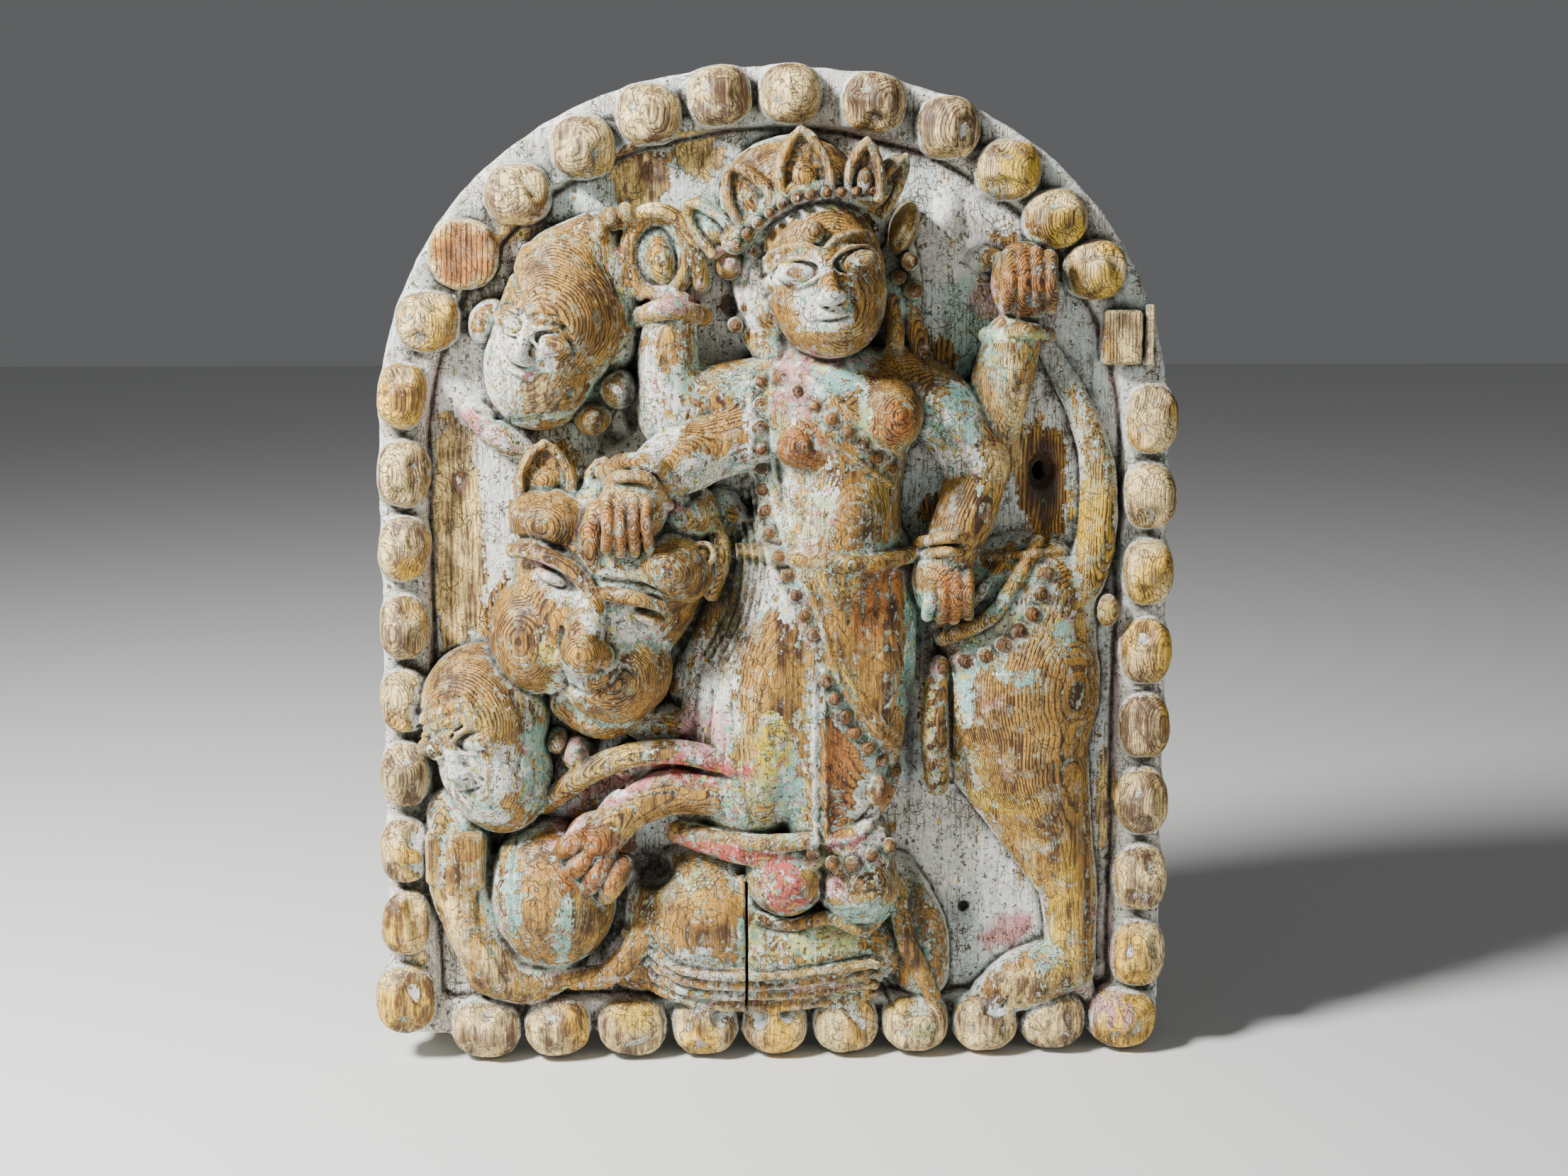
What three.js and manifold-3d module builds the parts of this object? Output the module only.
// Carved wooden temple panel: an arched board bordered with round bosses and
// filled with high relief. A crowned four-armed figure stands on an animal,
// holding up a head by its hair, with more heads, a fallen body and the
// hindquarters of a lion around it. Everything is cut from one block of wood.
// Lengths are in millimetres; the back face lies on y = 0 and the front faces -y.
import * as THREE from "three";
import { mergeVertices } from "three/addons/utils/BufferGeometryUtils.js";
import { SimplifyModifier } from "three/addons/modifiers/SimplifyModifier.js";
import Module from "manifold-3d";

const wasm = await Module();
wasm.setup();

// Driving dimensions
const boardHeight = 459;
const boardHalfWidth = 184;
const boardFootHalfWidth = 186;
const boardCorner = 16;
const footRise = 3;
const archSpring = 60;
const archSquareness = 2.15;
const borderFront = 42;
const fieldFront = 37;
const fieldHalfWidth = 163;
const fieldArchSpring = 48;
const fieldArchTop = 203;
const fieldFoot = -210;
const fieldCorner = 8;
const bossDepth = 15;
const bossRadius = 15;
const crackWidth = 1.2;
const crackDepth = 9;
const reliefRoot = 3;
const reliefFront = 130;
const gridCell = 1.5;
const reliefVertices = 2800;
const smallestArea = 1e-9;
const weldDistance = 1e-4;

// Forms are laid out in the panel's plane: u runs right, v up and w out from the
// back face. A head or a leaf has a frame of its own on top of that.
const panel = new THREE.Matrix4();

function frameAt(u, v, w, { turn = 0, yaw = 0, nod = 0 } = {}) {
  const toRadians = THREE.MathUtils.degToRad;
  return new THREE.Matrix4()
    .makeTranslation(u, v, w)
    .multiply(new THREE.Matrix4().makeRotationZ(toRadians(turn)))
    .multiply(new THREE.Matrix4().makeRotationY(toRadians(yaw)))
    .multiply(new THREE.Matrix4().makeRotationX(toRadians(nod)));
}

// Stands a closed geometry laid out in the panel's plane upright as a solid.
function solid(geometry) {
  geometry.deleteAttribute("normal");
  geometry.deleteAttribute("uv");
  const closed = mergeVertices(geometry, weldDistance);
  closed.rotateX(Math.PI / 2);
  const mesh = new wasm.Mesh({
    numProp: 3,
    vertProperties: new Float32Array(closed.attributes.position.array),
    triVerts: new Uint32Array(closed.index.array),
  });
  return new wasm.Manifold(mesh);
}

// An ellipsoid with its centre, half sizes and turn in the plane of its frame.
function blob(frame, [u, v, w], [ru, rv, rw], turn = 0) {
  const fineness = Math.max(ru, rv) > 20 ? 12 : 7;
  const ball = new THREE.IcosahedronGeometry(1, fineness);
  ball.scale(ru, rv, rw);
  ball.rotateZ(THREE.MathUtils.degToRad(turn));
  ball.translate(u, v, w);
  return ball.applyMatrix4(frame);
}

function bead(centre, radius) {
  return blob(panel, centre, [radius, radius, radius]);
}

// A rounded bar swept through stations [u, v, w, radius] and closed at both ends.
function limb(frame, stations) {
  const sides = 20;
  const steps = 6;
  const points = stations.map(([u, v, w]) => new THREE.Vector3(u, v, w));
  const path = new THREE.CatmullRomCurve3(points);
  const outward = new THREE.Vector3(0, 0, 1);
  const count = (stations.length - 1) * steps;
  const corners = [];
  const faces = [];
  const addRing = (centre, along, radius) => {
    const side = new THREE.Vector3().crossVectors(along, outward).normalize();
    const out = new THREE.Vector3().crossVectors(side, along).normalize();
    for (let k = 0; k < sides; k++) {
      const angle = (k / sides) * Math.PI * 2;
      const corner = centre
        .clone()
        .addScaledVector(side, Math.cos(angle) * radius)
        .addScaledVector(out, Math.sin(angle) * radius);
      corners.push(corner.x, corner.y, corner.z);
    }
  };
  const rings = [];
  for (let i = 0; i <= count; i++) {
    const place = i / steps;
    const from = Math.min(Math.floor(place), stations.length - 2);
    const share = place - from;
    const radius = THREE.MathUtils.lerp(stations[from][3], stations[from + 1][3], share);
    const at = i / count;
    rings.push({ centre: path.getPoint(at), along: path.getTangent(at), radius });
  }
  const first = rings[0];
  const last = rings[count];
  const capReach = 0.6;
  const capWidth = 0.75;
  rings.unshift({
    centre: first.centre.clone().addScaledVector(first.along, -first.radius * capReach),
    along: first.along,
    radius: first.radius * capWidth,
  });
  rings.push({
    centre: last.centre.clone().addScaledVector(last.along, last.radius * capReach),
    along: last.along,
    radius: last.radius * capWidth,
  });
  rings.forEach((ring) => addRing(ring.centre, ring.along, ring.radius));
  const startTip = rings.length * sides;
  const start = first.centre.clone().addScaledVector(first.along, -first.radius);
  const end = last.centre.clone().addScaledVector(last.along, last.radius);
  corners.push(start.x, start.y, start.z, end.x, end.y, end.z);
  const base = (rings.length - 1) * sides;
  for (let k = 0; k < sides; k++) {
    const next = (k + 1) % sides;
    faces.push(startTip, k, next);
    for (let i = 0; i + 1 < rings.length; i++) {
      const a = i * sides + k;
      const d = i * sides + next;
      faces.push(a, a + sides, d + sides, a, d + sides, d);
    }
    faces.push(startTip + 1, base + next, base + k);
  }
  const geometry = new THREE.BufferGeometry();
  geometry.setAttribute("position", new THREE.Float32BufferAttribute(corners, 3));
  geometry.setIndex(faces);
  return geometry.applyMatrix4(frame);
}

// Stations along an elliptical arc, for lids, brows, cuffs and rims.
function arc([u, v, w], [ru, rv, rise], fromAngle, toAngle, radius, count = 4) {
  const stations = [];
  for (let i = 0; i <= count; i++) {
    const share = i / count;
    const angle = THREE.MathUtils.degToRad(fromAngle + (toAngle - fromAngle) * share);
    const lift = rise * Math.sin(share * Math.PI);
    stations.push([u + ru * Math.cos(angle), v + rv * Math.sin(angle), w + lift, radius]);
  }
  return stations;
}

// A row of round beads spaced evenly along a curve through the points.
function beadRow(points, count, radius) {
  const path = new THREE.CatmullRomCurve3(points.map((p) => new THREE.Vector3(...p)));
  const row = [];
  for (let i = 0; i < count; i++) {
    const place = path.getPointAt(i / (count - 1));
    row.push(bead([place.x, place.y, place.z], radius));
  }
  return row;
}

// A pointed crown leaf growing up from the middle of its base: a flat blade with
// a raised rim and a small raised petal inside it.
function leaf([u, v, w], length, width, { turn = 0, yaw = 0 } = {}) {
  const frame = frameAt(u, v, w, { turn, yaw });
  const rim = 2.1;
  const sunk = 3;
  const half = width / 2 - rim;
  const bulge = 1.1;
  const blade = new THREE.Shape();
  blade.moveTo(-half, 0);
  blade.quadraticCurveTo(-half * bulge, length * 0.5, 0, length - rim);
  blade.quadraticCurveTo(half * bulge, length * 0.5, half, 0);
  const plate = new THREE.ExtrudeGeometry(blade, { depth: rim, bevelEnabled: false });
  plate.translate(0, 0, -sunk - rim);
  const parts = [plate.applyMatrix4(frame)];
  for (const side of [-half, half]) {
    const low = [side, 0, -rim, rim];
    const middle = [side * 0.8, length * 0.5, -rim, rim];
    parts.push(limb(frame, [low, middle, [0, length - rim, -rim, rim]]));
  }
  parts.push(blob(frame, [0, length * 0.27, -sunk], [half * 0.45, length * 0.2, rim]));
  return parts;
}

// Carved face in a head frame, sized by the half width of the face and laid on
// the round of the head: arched brows, lidded almond eyes, a broad nose and a
// small closed mouth.
function face(frame, half, rise = 0) {
  const surface = (u, v) => {
    const fall = 1 - (u * u) / 1.06 - ((v - 0.1) * (v - 0.1)) / 1.8;
    return Math.sqrt(Math.max(0.1, fall)) * 1.04;
  };
  const place = (u, v, lift) => [half * u, half * v, half * (surface(u, v) + lift) + rise];
  const size = (ru, rv, rw) => [half * ru, half * rv, half * rw];
  const line = ([cu, cv], [ru, rv], fromAngle, toAngle, radius, lift) => {
    const flat = arc([cu, cv, 0], [ru, rv, 0], fromAngle, toAngle, half * radius);
    return limb(frame, flat.map(([u, v, , r]) => [...place(u, v, lift), r]));
  };
  const features = [];
  for (const side of [-1, 1]) {
    const eye = [side * 0.5, 0.2];
    features.push(blob(frame, place(...eye, -0.09), size(0.3, 0.18, 0.17), side * 6));
    features.push(line(eye, [0.34, 0.25], 172, 8, 0.06, 0));
    features.push(line(eye, [0.32, 0.21], 200, 340, 0.05, -0.02));
    features.push(line([side * 0.5, 0.34], [0.42, 0.34], 160, 20, 0.08, -0.02));
    features.push(blob(frame, place(side * 0.17, -0.27, 0), size(0.14, 0.12, 0.16)));
  }
  const bridge = [...place(0, 0.3, -0.14), half * 0.12];
  const middle = [...place(0, -0.02, -0.04), half * 0.15];
  const tip = [...place(0, -0.25, 0.05), half * 0.19];
  features.push(limb(frame, [bridge, middle, tip]));
  features.push(blob(frame, place(0, -0.6, -0.02), size(0.3, 0.08, 0.12)));
  features.push(blob(frame, place(0, -0.75, -0.02), size(0.24, 0.09, 0.13)));
  features.push(blob(frame, place(0, -1.02, -0.1), size(0.34, 0.26, 0.3)));
  return features;
}

// An upright outline with rounded lower corners and an arched top.
function archOutline(halfWidth, footHalfWidth, foot, spring, top, corner) {
  const shape = new THREE.Shape();
  shape.moveTo(-footHalfWidth, foot + corner);
  shape.quadraticCurveTo(-footHalfWidth, foot, -footHalfWidth + corner, foot);
  shape.lineTo(footHalfWidth - corner, foot);
  shape.quadraticCurveTo(footHalfWidth, foot, footHalfWidth, foot + corner);
  const count = 36;
  const power = 2 / archSquareness;
  for (let i = 0; i <= count; i++) {
    const angle = (i / count) * Math.PI;
    const across = Math.sign(Math.cos(angle)) * Math.abs(Math.cos(angle)) ** power;
    const up = Math.sin(angle) ** power;
    shape.lineTo(halfWidth * across, spring + (top - spring) * up);
  }
  shape.closePath();
  return shape;
}

// A slab of the board's outline, from the back face to the given depth.
function slab(depth) {
  const top = boardHeight / 2;
  const foot = footRise - top;
  const edge = archOutline(boardHalfWidth, boardFootHalfWidth, foot, archSpring, top, boardCorner);
  return solid(new THREE.ExtrudeGeometry(edge, { depth, bevelEnabled: false }));
}

// The board with its slightly sunk field inside a plain border.
function board() {
  const inner = archOutline(
    fieldHalfWidth,
    fieldHalfWidth,
    fieldFoot,
    fieldArchSpring,
    fieldArchTop,
    fieldCorner,
  );
  const sunk = borderFront - fieldFront;
  const recess = new THREE.ExtrudeGeometry(inner, { depth: sunk * 2, bevelEnabled: false });
  recess.translate(0, 0, fieldFront);
  return slab(borderFront).subtract(solid(recess));
}

// Round bosses along the sides, the arch and the foot of the border.
function boss(u, v, across = bossRadius, up = bossRadius) {
  const profile = [
    [0, -0.7],
    [0.9, -0.7],
    [1, 0],
    [0.75, 0.68],
    [0, 1],
  ];
  const around = 9;
  const dome = new THREE.LatheGeometry(profile.map(([r, w]) => new THREE.Vector2(r, w)), around);
  dome.rotateX(Math.PI / 2);
  dome.scale(across, up, bossDepth);
  dome.translate(u, v, borderFront);
  return solid(dome);
}

function bosses() {
  const all = [];
  const leftRows = [-170, -134, -97, -62, -27, 10, 45, 81];
  leftRows.forEach((v, i) => all.push(boss(-177 + i * 0.7, v, 12.5, 16.5)));
  const rightRows = [-190, -152, -114, -77, -41, -3, 33, 69];
  rightRows.forEach((v) => all.push(boss(175, v, 13.5, 17)));
  const footRow = [-140, -106, -70, -35, -1, 33, 67, 101, 134];
  footRow.forEach((u) => all.push(boss(u, -223, 17, 15.5)));
  all.push(boss(-178, -208, 15, 17));
  all.push(boss(168, -222, 17, 16));
  const arch = [
    [-160, 115],
    [-118, 172],
    [-88, 193],
    [-58, 208],
    [-26, 216],
    [6, 217],
    [44, 213],
    [78, 202],
    [106, 183],
    [128, 161],
    [147, 138],
  ];
  arch.forEach(([u, v]) => all.push(boss(u, v, bossRadius + 0.5, bossRadius - 0.5)));
  return all;
}

// One boss is cut back flat and another is split away to a squared stub.
function damagedBosses() {
  const cutLevel = 7;
  const cutBoss = boss(-143, 145, 16, 16);
  const cutter = new THREE.BoxGeometry(40, 40, 20);
  cutter.translate(-143, 145, borderFront + cutLevel + 10);
  const stub = new THREE.BoxGeometry(18, 25, 16);
  stub.translate(160, 107, borderFront);
  const splinter = new THREE.BoxGeometry(4, 28, 12);
  splinter.translate(173, 108, borderFront);
  return [cutBoss.subtract(solid(cutter)), solid(stub), solid(splinter)];
}

// Face, hair and ear ornaments of the crowned figure.
function figureHead() {
  const head = frameAt(21, 134, 62, { turn: 11 });
  return [
    blob(head, [0, 3, 0], [27.5, 36, 28]),
    blob(head, [0, -14, 4], [23.5, 22, 24]),
    blob(head, [-13, -8, 8], [12, 13, 14]),
    blob(head, [13, -8, 8], [12, 13, 14]),
    ...face(head, 27, 2),
    blob(panel, [14, 155, 89], [5.2, 5.2, 5]),
    blob(panel, [58, 157, 46], [6.5, 12.5, 19], -15),
    blob(panel, [-4, 130, 42], [16, 32, 16], 10),
    blob(panel, [-22, 140, 46], [6.5, 6.5, 16]),
    limb(panel, [[-14, 114, 42, 6], [0, 98, 46, 9]]),
    blob(panel, [55, 122, 36], [12, 34, 16], -4),
    bead([60, 142, 56], 4.6),
    bead([53, 136, 58], 3.8),
    bead([61, 129, 56], 4.8),
    bead([-24, 123, 48], 4.6),
    bead([-19, 113, 48], 4.6),
    limb(panel, [[55, 124, 48, 3.5], [55, 104, 52, 4.5]]),
    limb(panel, [[62, 122, 46, 3.5], [65, 102, 50, 4.5]]),
  ];
}

// Five pointed leaves in front of a dome, with a row of beads along the brow.
function crown() {
  return [
    blob(panel, [6, 172, 40], [32, 27, 22], 8),
    limb(panel, [[-21, 147, 68, 6], [-5, 163, 76, 6], [16, 171, 78, 6], [41, 168, 70, 6]]),
    ...leaf([12, 171, 80], 31, 27, { turn: 6 }),
    ...leaf([37, 171, 78], 27, 19, { turn: -4 }),
    ...leaf([45, 165, 68], 28, 16, { turn: -30, yaw: 35 }),
    ...leaf([-10, 162, 76], 27, 23, { turn: 30, yaw: -15 }),
    ...leaf([-25, 149, 66], 27, 19, { turn: 42, yaw: -20 }),
    ...beadRow([[-19, 149, 75], [-5, 163, 83], [12, 171, 85], [41, 173, 77]], 11, 3.2),
  ];
}

// Neck, chest, belly and hips, with the sash and the bead strings over them.
function torso() {
  return [
    limb(panel, [[21, 112, 50, 15], [18, 84, 52, 18]]),
    limb(panel, [[27, 72, 44, 36], [28, 36, 44, 30], [24, 4, 44, 35]]),
    blob(panel, [24, 74, 46], [44, 26, 30], 4),
    blob(panel, [50, 73, 64], [16, 17.5, 21]),
    blob(panel, [9, 60, 66], [10.5, 10.5, 16]),
    blob(panel, [28, 28, 54], [24, 28, 26]),
    limb(panel, [[6, 96, 68, 2.4], [33, 74, 80, 2.4], [56, 55, 76, 2.4]]),
    limb(panel, [[-1, 83, 68, 2.4], [23, 62, 80, 2.4], [52, 40, 66, 2.4]]),
    ...beadRow([[1, 90, 68], [26, 70, 82], [52, 48, 72]], 8, 3.4),
    limb(panel, [[-5, 84, 48, 9], [-4, 52, 50, 8], [0, 18, 54, 8]]),
    limb(panel, [[-3, 90, 62, 2.4], [-2, 48, 61, 2.4], [3, 14, 70, 2.4], [22, -30, 76, 2.4]]),
    ...beadRow([[-8, 84, 62], [-8, 54, 60], [-5, 22, 63], [6, -4, 74], [15, -27, 76]], 12, 3.4),
  ];
}

// Four fingers side by side, seen from their backs.
function fingers(across, top, foot, out, spread, radius) {
  const all = [];
  for (let i = 0; i < 4; i++) {
    const step = i - 1.5;
    const u = across + step * spread;
    const dip = Math.abs(step) * 1.6;
    const knuckle = [u, top - dip, out - 5, radius];
    const middle = [u, (top + foot) / 2, out, radius];
    const end = [u + step * 0.6, foot + dip, out - 6, radius * 0.85];
    all.push(limb(panel, [knuckle, middle, end]));
  }
  return all;
}

function upperLeftArm() {
  return [
    limb(panel, [[0, 82, 48, 17], [-28, 80, 48, 16], [-49, 76, 48, 15]]),
    limb(panel, [[-48, 70, 50, 15], [-50, 96, 52, 14], [-48, 118, 52, 12]]),
    limb(panel, [[-63, 117, 52, 4.5], [-49, 121, 66, 5], [-34, 117, 52, 4.5]]),
    blob(panel, [-54, 144, 40], [17, 21, 13], 8),
    limb(panel, arc([-55, 145, 54], [13.5, 17.5, 0], -70, 290, 4.4, 9)),
    limb(panel, [[-60, 155, 55, 3.2], [-52, 145, 59, 4.5], [-47, 133, 56, 3.2]]),
    limb(panel, [[-70, 160, 53, 4], [-52, 164, 56, 4], [-39, 153, 55, 4], [-35, 132, 52, 3.8]]),
    ...beadRow([[-80, 156, 55], [-75, 161, 56], [-68, 163, 56]], 3, 5),
  ];
}

function lowerLeftArm() {
  return [
    limb(panel, [[2, 68, 50, 18], [-28, 60, 54, 17], [-46, 51, 60, 15]]),
    limb(panel, [[-44, 53, 60, 15], [-57, 45, 66, 14], [-65, 34, 70, 14]]),
    limb(panel, [[-78, 42, 64, 2.6], [-71, 47, 80, 2.8], [-59, 46, 83, 2.8], [-50, 33, 74, 2.6]]),
    limb(panel, [[-80, 47, 62, 3.6], [-70, 53, 76, 4], [-56, 52, 80, 4], [-45, 36, 66, 3.6]]),
    blob(panel, [-67, 30, 70], [16, 16, 16]),
    limb(panel, [[-83, 31, 70, 4.6], [-86, 16, 76, 5], [-83, 3, 76, 3]]),
    ...fingers(-68.5, 38, 9, 87, 5.7, 3.1),
  ];
}

function rightArms() {
  return [
    limb(panel, [[54, 86, 46, 19], [78, 72, 48, 17], [93, 48, 48, 14]]),
    limb(panel, [[95, 50, 48, 14], [87, 26, 54, 14], [79, 8, 58, 12]]),
    limb(panel, [[65, 13, 56, 3], [78, 18, 74, 3], [92, 14, 56, 3]]),
    limb(panel, [[65, 7, 56, 2.5], [77, 11, 73, 2.5], [91, 8, 56, 2.5]]),
    blob(panel, [76, -6, 58], [14, 18, 14], 10),
    ...fingers(78, 2, -22, 71, 5.6, 3.5),
    limb(panel, [[102, 46, 42, 6], [103, 80, 46, 14], [109, 106, 48, 13]]),
    limb(panel, [[97, 108, 46, 3.8], [111, 111, 61, 3.8], [126, 108, 46, 3.8]]),
    blob(panel, [113, 132, 48], [15, 19, 15]),
    ...fingers(114, 146, 119, 63, 6.2, 3.8),
    blob(panel, [97, 143, 38], [9, 6, 9]),
    blob(panel, [79, 163, 34], [8, 17, 7]),
  ];
}

// The head held up by its hair, turned to look down at its left.
function heldHead() {
  const head = frameAt(-101, 108, 46, { turn: -21, yaw: -18, nod: 4 });
  return [
    blob(head, [1, 7, 0], [30, 32, 31]),
    blob(head, [-1, -12, 2], [27, 33, 27]),
    ...face(head, 25, 5),
    limb(panel, [[-97, 134, 42, 24], [-84, 150, 44, 14], [-77, 158, 46, 7]]),
    limb(panel, [[-80, 146, 48, 10], [-73, 126, 46, 11], [-74, 104, 44, 10], [-84, 86, 42, 7]]),
    limb(panel, [[-141, 74, 40, 6], [-128, 62, 43, 7], [-117, 56, 42, 5]]),
    blob(panel, [-133, 115, 40], [8, 11, 12], -30),
    blob(panel, [-86, 82, 36], [14, 14, 18]),
    blob(panel, [-92, 91, 54], [5, 7, 10], -20),
    blob(panel, [-73, 84, 44], [9.5, 9.5, 20]),
    blob(panel, [-85, 71, 44], [8.5, 8.5, 18]),
  ];
}

// Large heavy-cheeked head under the lower left hand of the crowned figure.
function crownedBeast() {
  return [
    blob(panel, [-78, -2, 46], [44, 50, 33], -20),
    blob(panel, [-90, -20, 50], [34, 42, 30], -10),
    blob(panel, [-104, 24, 54], [20, 16, 24], -12),
    blob(panel, [-50, 4, 54], [22, 18, 32], -30),
    blob(panel, [-114, -30, 50], [20, 28, 27], 4),
    blob(panel, [-75, -47, 54], [26, 24, 27], 20),
    limb(panel, [[-121, 12, 66, 4], [-110, 12, 74, 4.4], [-97, 6, 79, 4.4], [-84, -4, 80, 4]]),
    limb(panel, [[-78, -6, 80, 3.6], [-66, -8, 83, 4], [-54, -13, 80, 3.6]]),
    blob(panel, [-103, 0, 69], [8.5, 3.6, 9], -26),
    blob(panel, [-60, -18, 72], [8.5, 3.6, 9], -18),
    limb(panel, [[-84, 0, 73, 5], [-85, -12, 79, 6], [-88, -24, 82, 9]]),
    blob(panel, [-89, -32, 82], [10.5, 11.5, 13]),
    blob(panel, [-98, -35, 76], [5, 6.5, 9], -15),
    blob(panel, [-80, -35, 76], [5, 6.5, 9], 15),
    ...leaf([-106, 36, 62], 26, 28, { turn: 2 }),
    ...leaf([-82, 34, 58], 20, 18, { turn: -8 }),
    blob(panel, [-43, 27, 50], [16, 15, 21]),
    limb(panel, [[-32, 27, 56, 4], [-26, 9, 60, 4.5], [-31, -10, 56, 4]]),
    limb(panel, arc([-35, 10, 69], [5, 5, 0], 0, 360, 1.8, 6)),
    limb(panel, [[-26, 28, 38, 10], [-16, 4, 40, 13], [-24, -30, 38, 14], [-42, -58, 36, 10]]),
    limb(panel, [[-98, -62, 50, 9], [-84, -70, 54, 9], [-66, -68, 52, 8]]),
  ];
}

// Head and upper body fallen at the lower left corner.
function fallenFigure() {
  const head = frameAt(-137, -80, 42, { turn: 14, yaw: -28, nod: 2 });
  return [
    blob(head, [3, 12, 0], [30, 33, 31]),
    blob(head, [2, -12, 2], [26, 35, 27]),
    ...face(head, 26, 4),
    blob(panel, [-104, -82, 42], [5.5, 6, 14]),
    blob(panel, [-94, -88, 42], [8.5, 8.5, 17]),
    limb(panel, [[-152, -118, 40, 15], [-150, -150, 44, 16], [-137, -190, 44, 14]]),
    new THREE.BoxGeometry(8, 25, 46).translate(-162, -136.5, 34),
    new THREE.BoxGeometry(17, 27, 52).translate(-146.5, -136.5, 34),
    limb(panel, [[-136, -194, 44, 13], [-120, -200, 44, 11], [-102, -195, 42, 9]]),
    blob(panel, [-118, -184, 36], [16, 14, 16]),
    blob(panel, [-108, -157, 40], [31, 36, 31], 10),
    limb(
      panel,
      [[-60, -158, 46, 6], [-66, -178, 52, 6], [-80, -194, 52, 6], [-97, -198, 48, 5.5]],
    ),
  ];
}

// Arm with a toed paw reaching down beside the skirt, under a raised band.
function pawArm() {
  const arm = [[-18, -104, 54, 13], [-46, -103, 56, 12], [-68, -110, 58, 11], [-82, -124, 60, 10]];
  const band = [[-110, -112, 46, 5], [-82, -90, 60, 6], [-50, -83, 64, 6], [-18, -92, 60, 6]];
  const toes = [
    [[-90, -119, 62, 4.6], [-97, -124.5, 66, 5], [-104, -130, 58, 4.4]],
    [[-86, -126, 62, 4.6], [-93.5, -134, 66, 5], [-101, -142, 58, 4.4]],
    [[-80, -132, 62, 4.6], [-86.5, -141.5, 66, 5], [-93, -151, 58, 4.4]],
    [[-73, -137, 62, 4.6], [-77, -146, 66, 5], [-81, -155, 58, 4.4]],
  ];
  return [
    limb(panel, arm),
    limb(panel, band),
    blob(panel, [-86, -126, 54], [14, 12, 17], 20),
    blob(panel, [-54, -74, 40], [20, 10, 18]),
    blob(panel, [-46, -92, 38], [34, 14, 20], 5),
    ...toes.map((toe) => limb(panel, toe)),
  ];
}

// Long skirt over both legs, with its sash, bead strings, hem and pendant.
function skirt() {
  return [
    limb(panel, [[4, 4, 42, 26], [-2, -42, 48, 28], [-8, -84, 48, 27], [-13, -106, 44, 25]]),
    limb(panel, [[42, 2, 42, 23], [43, -44, 48, 22], [38, -84, 48, 21], [35, -104, 46, 20]]),
    limb(panel, [[22, -6, 44, 30], [20, -60, 46, 28], [16, -100, 44, 26]]),
    limb(panel, [[-22, -36, 38, 14], [-32, -78, 42, 17], [-38, -110, 42, 14]]),
    limb(panel, [[-20, 10, 56, 4], [6, 9, 72, 4.5], [36, 6, 76, 4.5], [64, 8, 56, 4]]),
    limb(panel, [[16, -34, 73, 2.4], [16, -72, 74, 2.4], [17, -122, 70, 2.4]]),
    limb(panel, [[20, -44, 73, 2.4], [21, -80, 74, 2.4], [22, -120, 70, 2.4]]),
    limb(panel, [[20, -26, 74, 2.6], [28, -50, 73, 2.6], [41, -65, 70, 2.6], [58, -84, 58, 2.6]]),
    limb(panel, [[-44, -124, 54, 4], [-14, -127, 66, 4.5], [16, -125, 70, 4]]),
    limb(panel, [[21, -126, 68, 3], [38, -123, 68, 3], [51, -109, 62, 3], [57, -95, 56, 3]]),
    ...beadRow([[21, -48, 75], [34, -72, 71], [55, -95, 58]], 7, 3.6),
    blob(panel, [46, -102, 60], [6, 8.5, 13]),
  ];
}

// Both feet, the anklet beads and the cloth end above them.
function feet() {
  const sole = [
    [-17, -148, 56, 3],
    [-13, -163, 57, 3.2],
    [5, -169, 58, 3.2],
    [24, -165, 62, 3.2],
    [40, -171, 60, 3.4],
    [54, -160, 57, 3],
  ];
  return [
    limb(panel, [[-46, -125, 52, 6], [-16, -131, 60, 8], [16, -134, 62, 7]]),
    blob(panel, [4, -147, 50], [20, 19, 25], -6),
    blob(panel, [38, -150, 50], [20, 21, 24], 8),
    limb(panel, [[18, -118, 52, 16], [38, -134, 54, 17]]),
    ...beadRow([[16, -131, 72], [31, -136, 75], [52, -129, 67]], 5, 3.9),
    limb(panel, sole),
  ];
}

// Animal lying under the feet, its flank folded in long curved ridges.
function lyingAnimal() {
  const parts = [
    blob(panel, [-34, -172, 34], [40, 40, 31]),
    blob(panel, [-66, -192, 34], [18, 16, 18]),
    blob(panel, [10, -186, 34], [56, 28, 28]),
    limb(panel, [[57, -150, 38, 11], [68, -176, 40, 14], [71, -200, 38, 13]]),
    limb(panel, [[56, -152, 50, 4], [62, -180, 56, 5], [75, -208, 50, 4]]),
  ];
  const ridges = 4;
  const spacing = 6;
  for (let i = 0; i < ridges; i++) {
    const drop = i * spacing;
    parts.push(
      limb(panel, [
        [-72 - i * 1.5, -176 - drop, 46 - i * 2, 3],
        [-44, -190 - drop, 60 - i * 3, 3.2],
        [0, -193 - drop, 61 - i * 3, 3.2],
        [46, -189 - drop, 58 - i * 3, 3],
      ]),
    );
  }
  return parts;
}

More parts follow.
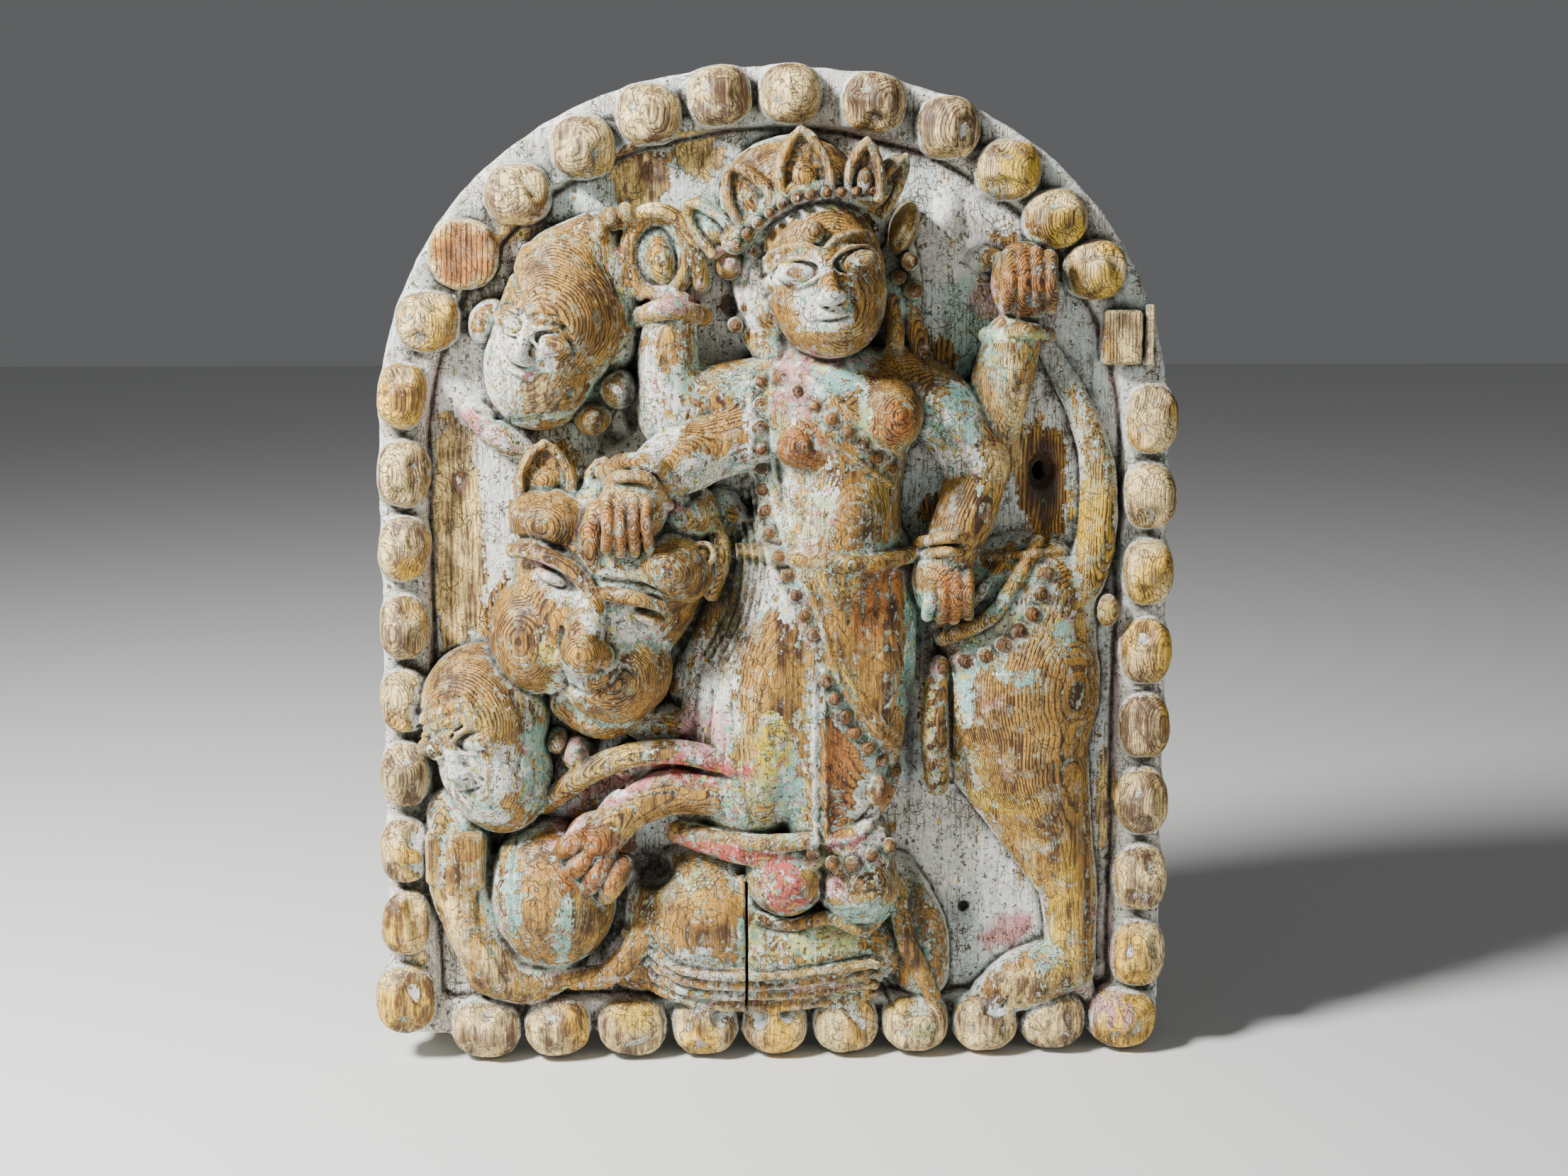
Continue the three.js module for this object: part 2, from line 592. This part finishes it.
// Lion hindquarters at the right: haunch, leg, paw and raised tail.
function lionHindquarters() {
  const tail = [
    [140, -24, 38, 11],
    [150, 10, 42, 9.5],
    [151, 42, 42, 8.5],
    [144, 68, 42, 7],
    [132, 92, 40, 5.5],
    [124, 105, 40, 4],
  ];
  const leg = [
    [120, -92, 36, 30],
    [132, -126, 38, 20],
    [141, -158, 40, 14],
    [143, -196, 40, 12],
  ];
  return [
    blob(panel, [115, -58, 36], [40, 50, 31]),
    blob(panel, [116, -22, 34], [38, 38, 26]),
    limb(panel, leg),
    limb(panel, [[86, -92, 38, 9], [108, -120, 42, 9], [134, -156, 44, 8]]),
    limb(panel, [[140, -196, 40, 14], [120, -203, 42, 15], [104, -212, 40, 10]]),
    limb(panel, tail),
    limb(panel, [[146, -204, 40, 7], [152, -212, 40, 4]]),
    limb(panel, [[122, 12, 46, 3.4], [112, -3, 56, 3.6], [98, -22, 60, 3.6], [77, -33, 53, 3.4]]),
    limb(panel, [[114, 12, 44, 2.5], [103, 0, 52, 2.5], [89, -17, 56, 2.5], [74, -27, 49, 2.5]]),
    limb(panel, [[88, 3, 62, 2.6], [110, 6, 56, 2.6], [134, 7, 48, 2.6]]),
    ...beadRow([[125, -2, 56], [117, -22, 61], [99, -38, 62], [78, -46, 56]], 8, 4),
    limb(panel, [[76, -46, 50, 5], [74, -74, 53, 6.5], [76, -104, 47, 6]]),
    blob(panel, [156, -21, 46], [5.5, 8, 7]),
  ];
}

// Drying crack below the foot, and the holes of two knots.
function crackAndKnots() {
  const crackFront = 64;
  const crack = new THREE.BoxGeometry(crackWidth, 66, crackDepth * 2);
  crack.translate(-15, -181, crackFront);
  const largeKnot = new THREE.CylinderGeometry(6.5, 5, 12, 12);
  largeKnot.rotateX(Math.PI / 2);
  largeKnot.translate(125, 44, fieldFront);
  const smallKnot = new THREE.CylinderGeometry(2.6, 2, 12, 8);
  smallKnot.rotateX(Math.PI / 2);
  smallKnot.translate(91, -168, fieldFront);
  return [solid(crack), solid(largeKnot), solid(smallKnot)];
}

function forms() {
  return [
    ...crown(),
    ...figureHead(),
    ...torso(),
    ...upperLeftArm(),
    ...lowerLeftArm(),
    ...rightArms(),
    ...heldHead(),
    ...crownedBeast(),
    ...fallenFigure(),
    ...pawArm(),
    ...skirt(),
    ...feet(),
    ...lyingAnimal(),
    ...lionHindquarters(),
  ];
}

// Lifts the points of a height grid up to the front of a form where it covers them.
function raise(grid, form) {
  const faces = form.index ? form.toNonIndexed() : form;
  const corners = faces.attributes.position;
  const at = (k) => new THREE.Vector3().fromBufferAttribute(corners, k);
  for (let k = 0; k < corners.count; k += 3) {
    const [a, b, c] = [at(k), at(k + 1), at(k + 2)];
    const area = (b.x - a.x) * (c.y - a.y) - (c.x - a.x) * (b.y - a.y);
    if (area < smallestArea) continue;
    const column = (u) => (u + boardHalfWidth) / grid.cell;
    const row = (v) => (v + boardHeight / 2) / grid.cell;
    const firstColumn = Math.ceil(column(Math.min(a.x, b.x, c.x)));
    const lastColumn = Math.floor(column(Math.max(a.x, b.x, c.x)));
    const firstRow = Math.ceil(row(Math.min(a.y, b.y, c.y)));
    const lastRow = Math.floor(row(Math.max(a.y, b.y, c.y)));
    for (let i = firstColumn; i <= lastColumn; i++) {
      for (let j = firstRow; j <= lastRow; j++) {
        const u = i * grid.cell - boardHalfWidth;
        const v = j * grid.cell - boardHeight / 2;
        const shareB = ((u - a.x) * (c.y - a.y) - (c.x - a.x) * (v - a.y)) / area;
        const shareC = ((b.x - a.x) * (v - a.y) - (u - a.x) * (b.y - a.y)) / area;
        if (shareB < 0 || shareC < 0 || shareB + shareC > 1) continue;
        const front = a.z + shareB * (b.z - a.z) + shareC * (c.z - a.z);
        const place = j * (grid.columns + 1) + i;
        grid.heights[place] = Math.max(grid.heights[place], front);
      }
    }
  }
}

// The relief as one block rising from inside the board, with straight-cut sides
// and with its facets thinned out where it is nearly flat.
async function relief() {
  const root = fieldFront - reliefRoot;
  const columns = Math.round((boardHalfWidth * 2) / gridCell);
  const rows = Math.round(boardHeight / gridCell);
  const heights = new Float32Array((columns + 1) * (rows + 1)).fill(root);
  const grid = { cell: gridCell, columns, rows, heights };
  forms().forEach((form) => raise(grid, form));
  const width = columns * gridCell;
  const height = rows * gridCell;
  const block = new THREE.BoxGeometry(width, height, reliefRoot, columns, rows);
  block.translate(width / 2 - boardHalfWidth, height / 2 - boardHeight / 2, 0);
  const corners = block.attributes.position;
  for (let k = 0; k < corners.count; k++) {
    const i = Math.round((corners.getX(k) + boardHalfWidth) / gridCell);
    const j = Math.round((corners.getY(k) + boardHeight / 2) / gridCell);
    const front = heights[j * (columns + 1) + i];
    corners.setZ(k, corners.getZ(k) > 0 ? front : root - reliefRoot);
  }
  block.deleteAttribute("normal");
  block.deleteAttribute("uv");
  const full = mergeVertices(block, weldDistance);
  const surplus = full.attributes.position.count - reliefVertices;
  return solid(await new SimplifyModifier().modify(full, surplus));
}

async function carvedPanel() {
  const carved = board().add((await relief()).intersect(slab(reliefFront)));
  const holed = crackAndKnots().reduce((cut, hole) => cut.subtract(hole), carved);
  const body = [...bosses(), ...damagedBosses()].reduce((all, one) => all.add(one), holed);
  const result = body.getMesh();
  const geometry = new THREE.BufferGeometry();
  geometry.setAttribute("position", new THREE.BufferAttribute(result.vertProperties, 3));
  geometry.setIndex(new THREE.BufferAttribute(result.triVerts, 1));
  geometry.computeVertexNormals();
  const wood = new THREE.MeshStandardMaterial({ color: "#a87c4f", roughness: 0.8, metalness: 0 });
  const mesh = new THREE.Mesh(geometry, wood);
  mesh.name = "carved_panel";
  return mesh;
}

const part = new THREE.Group();
part.add(await carvedPanel());
export default part;
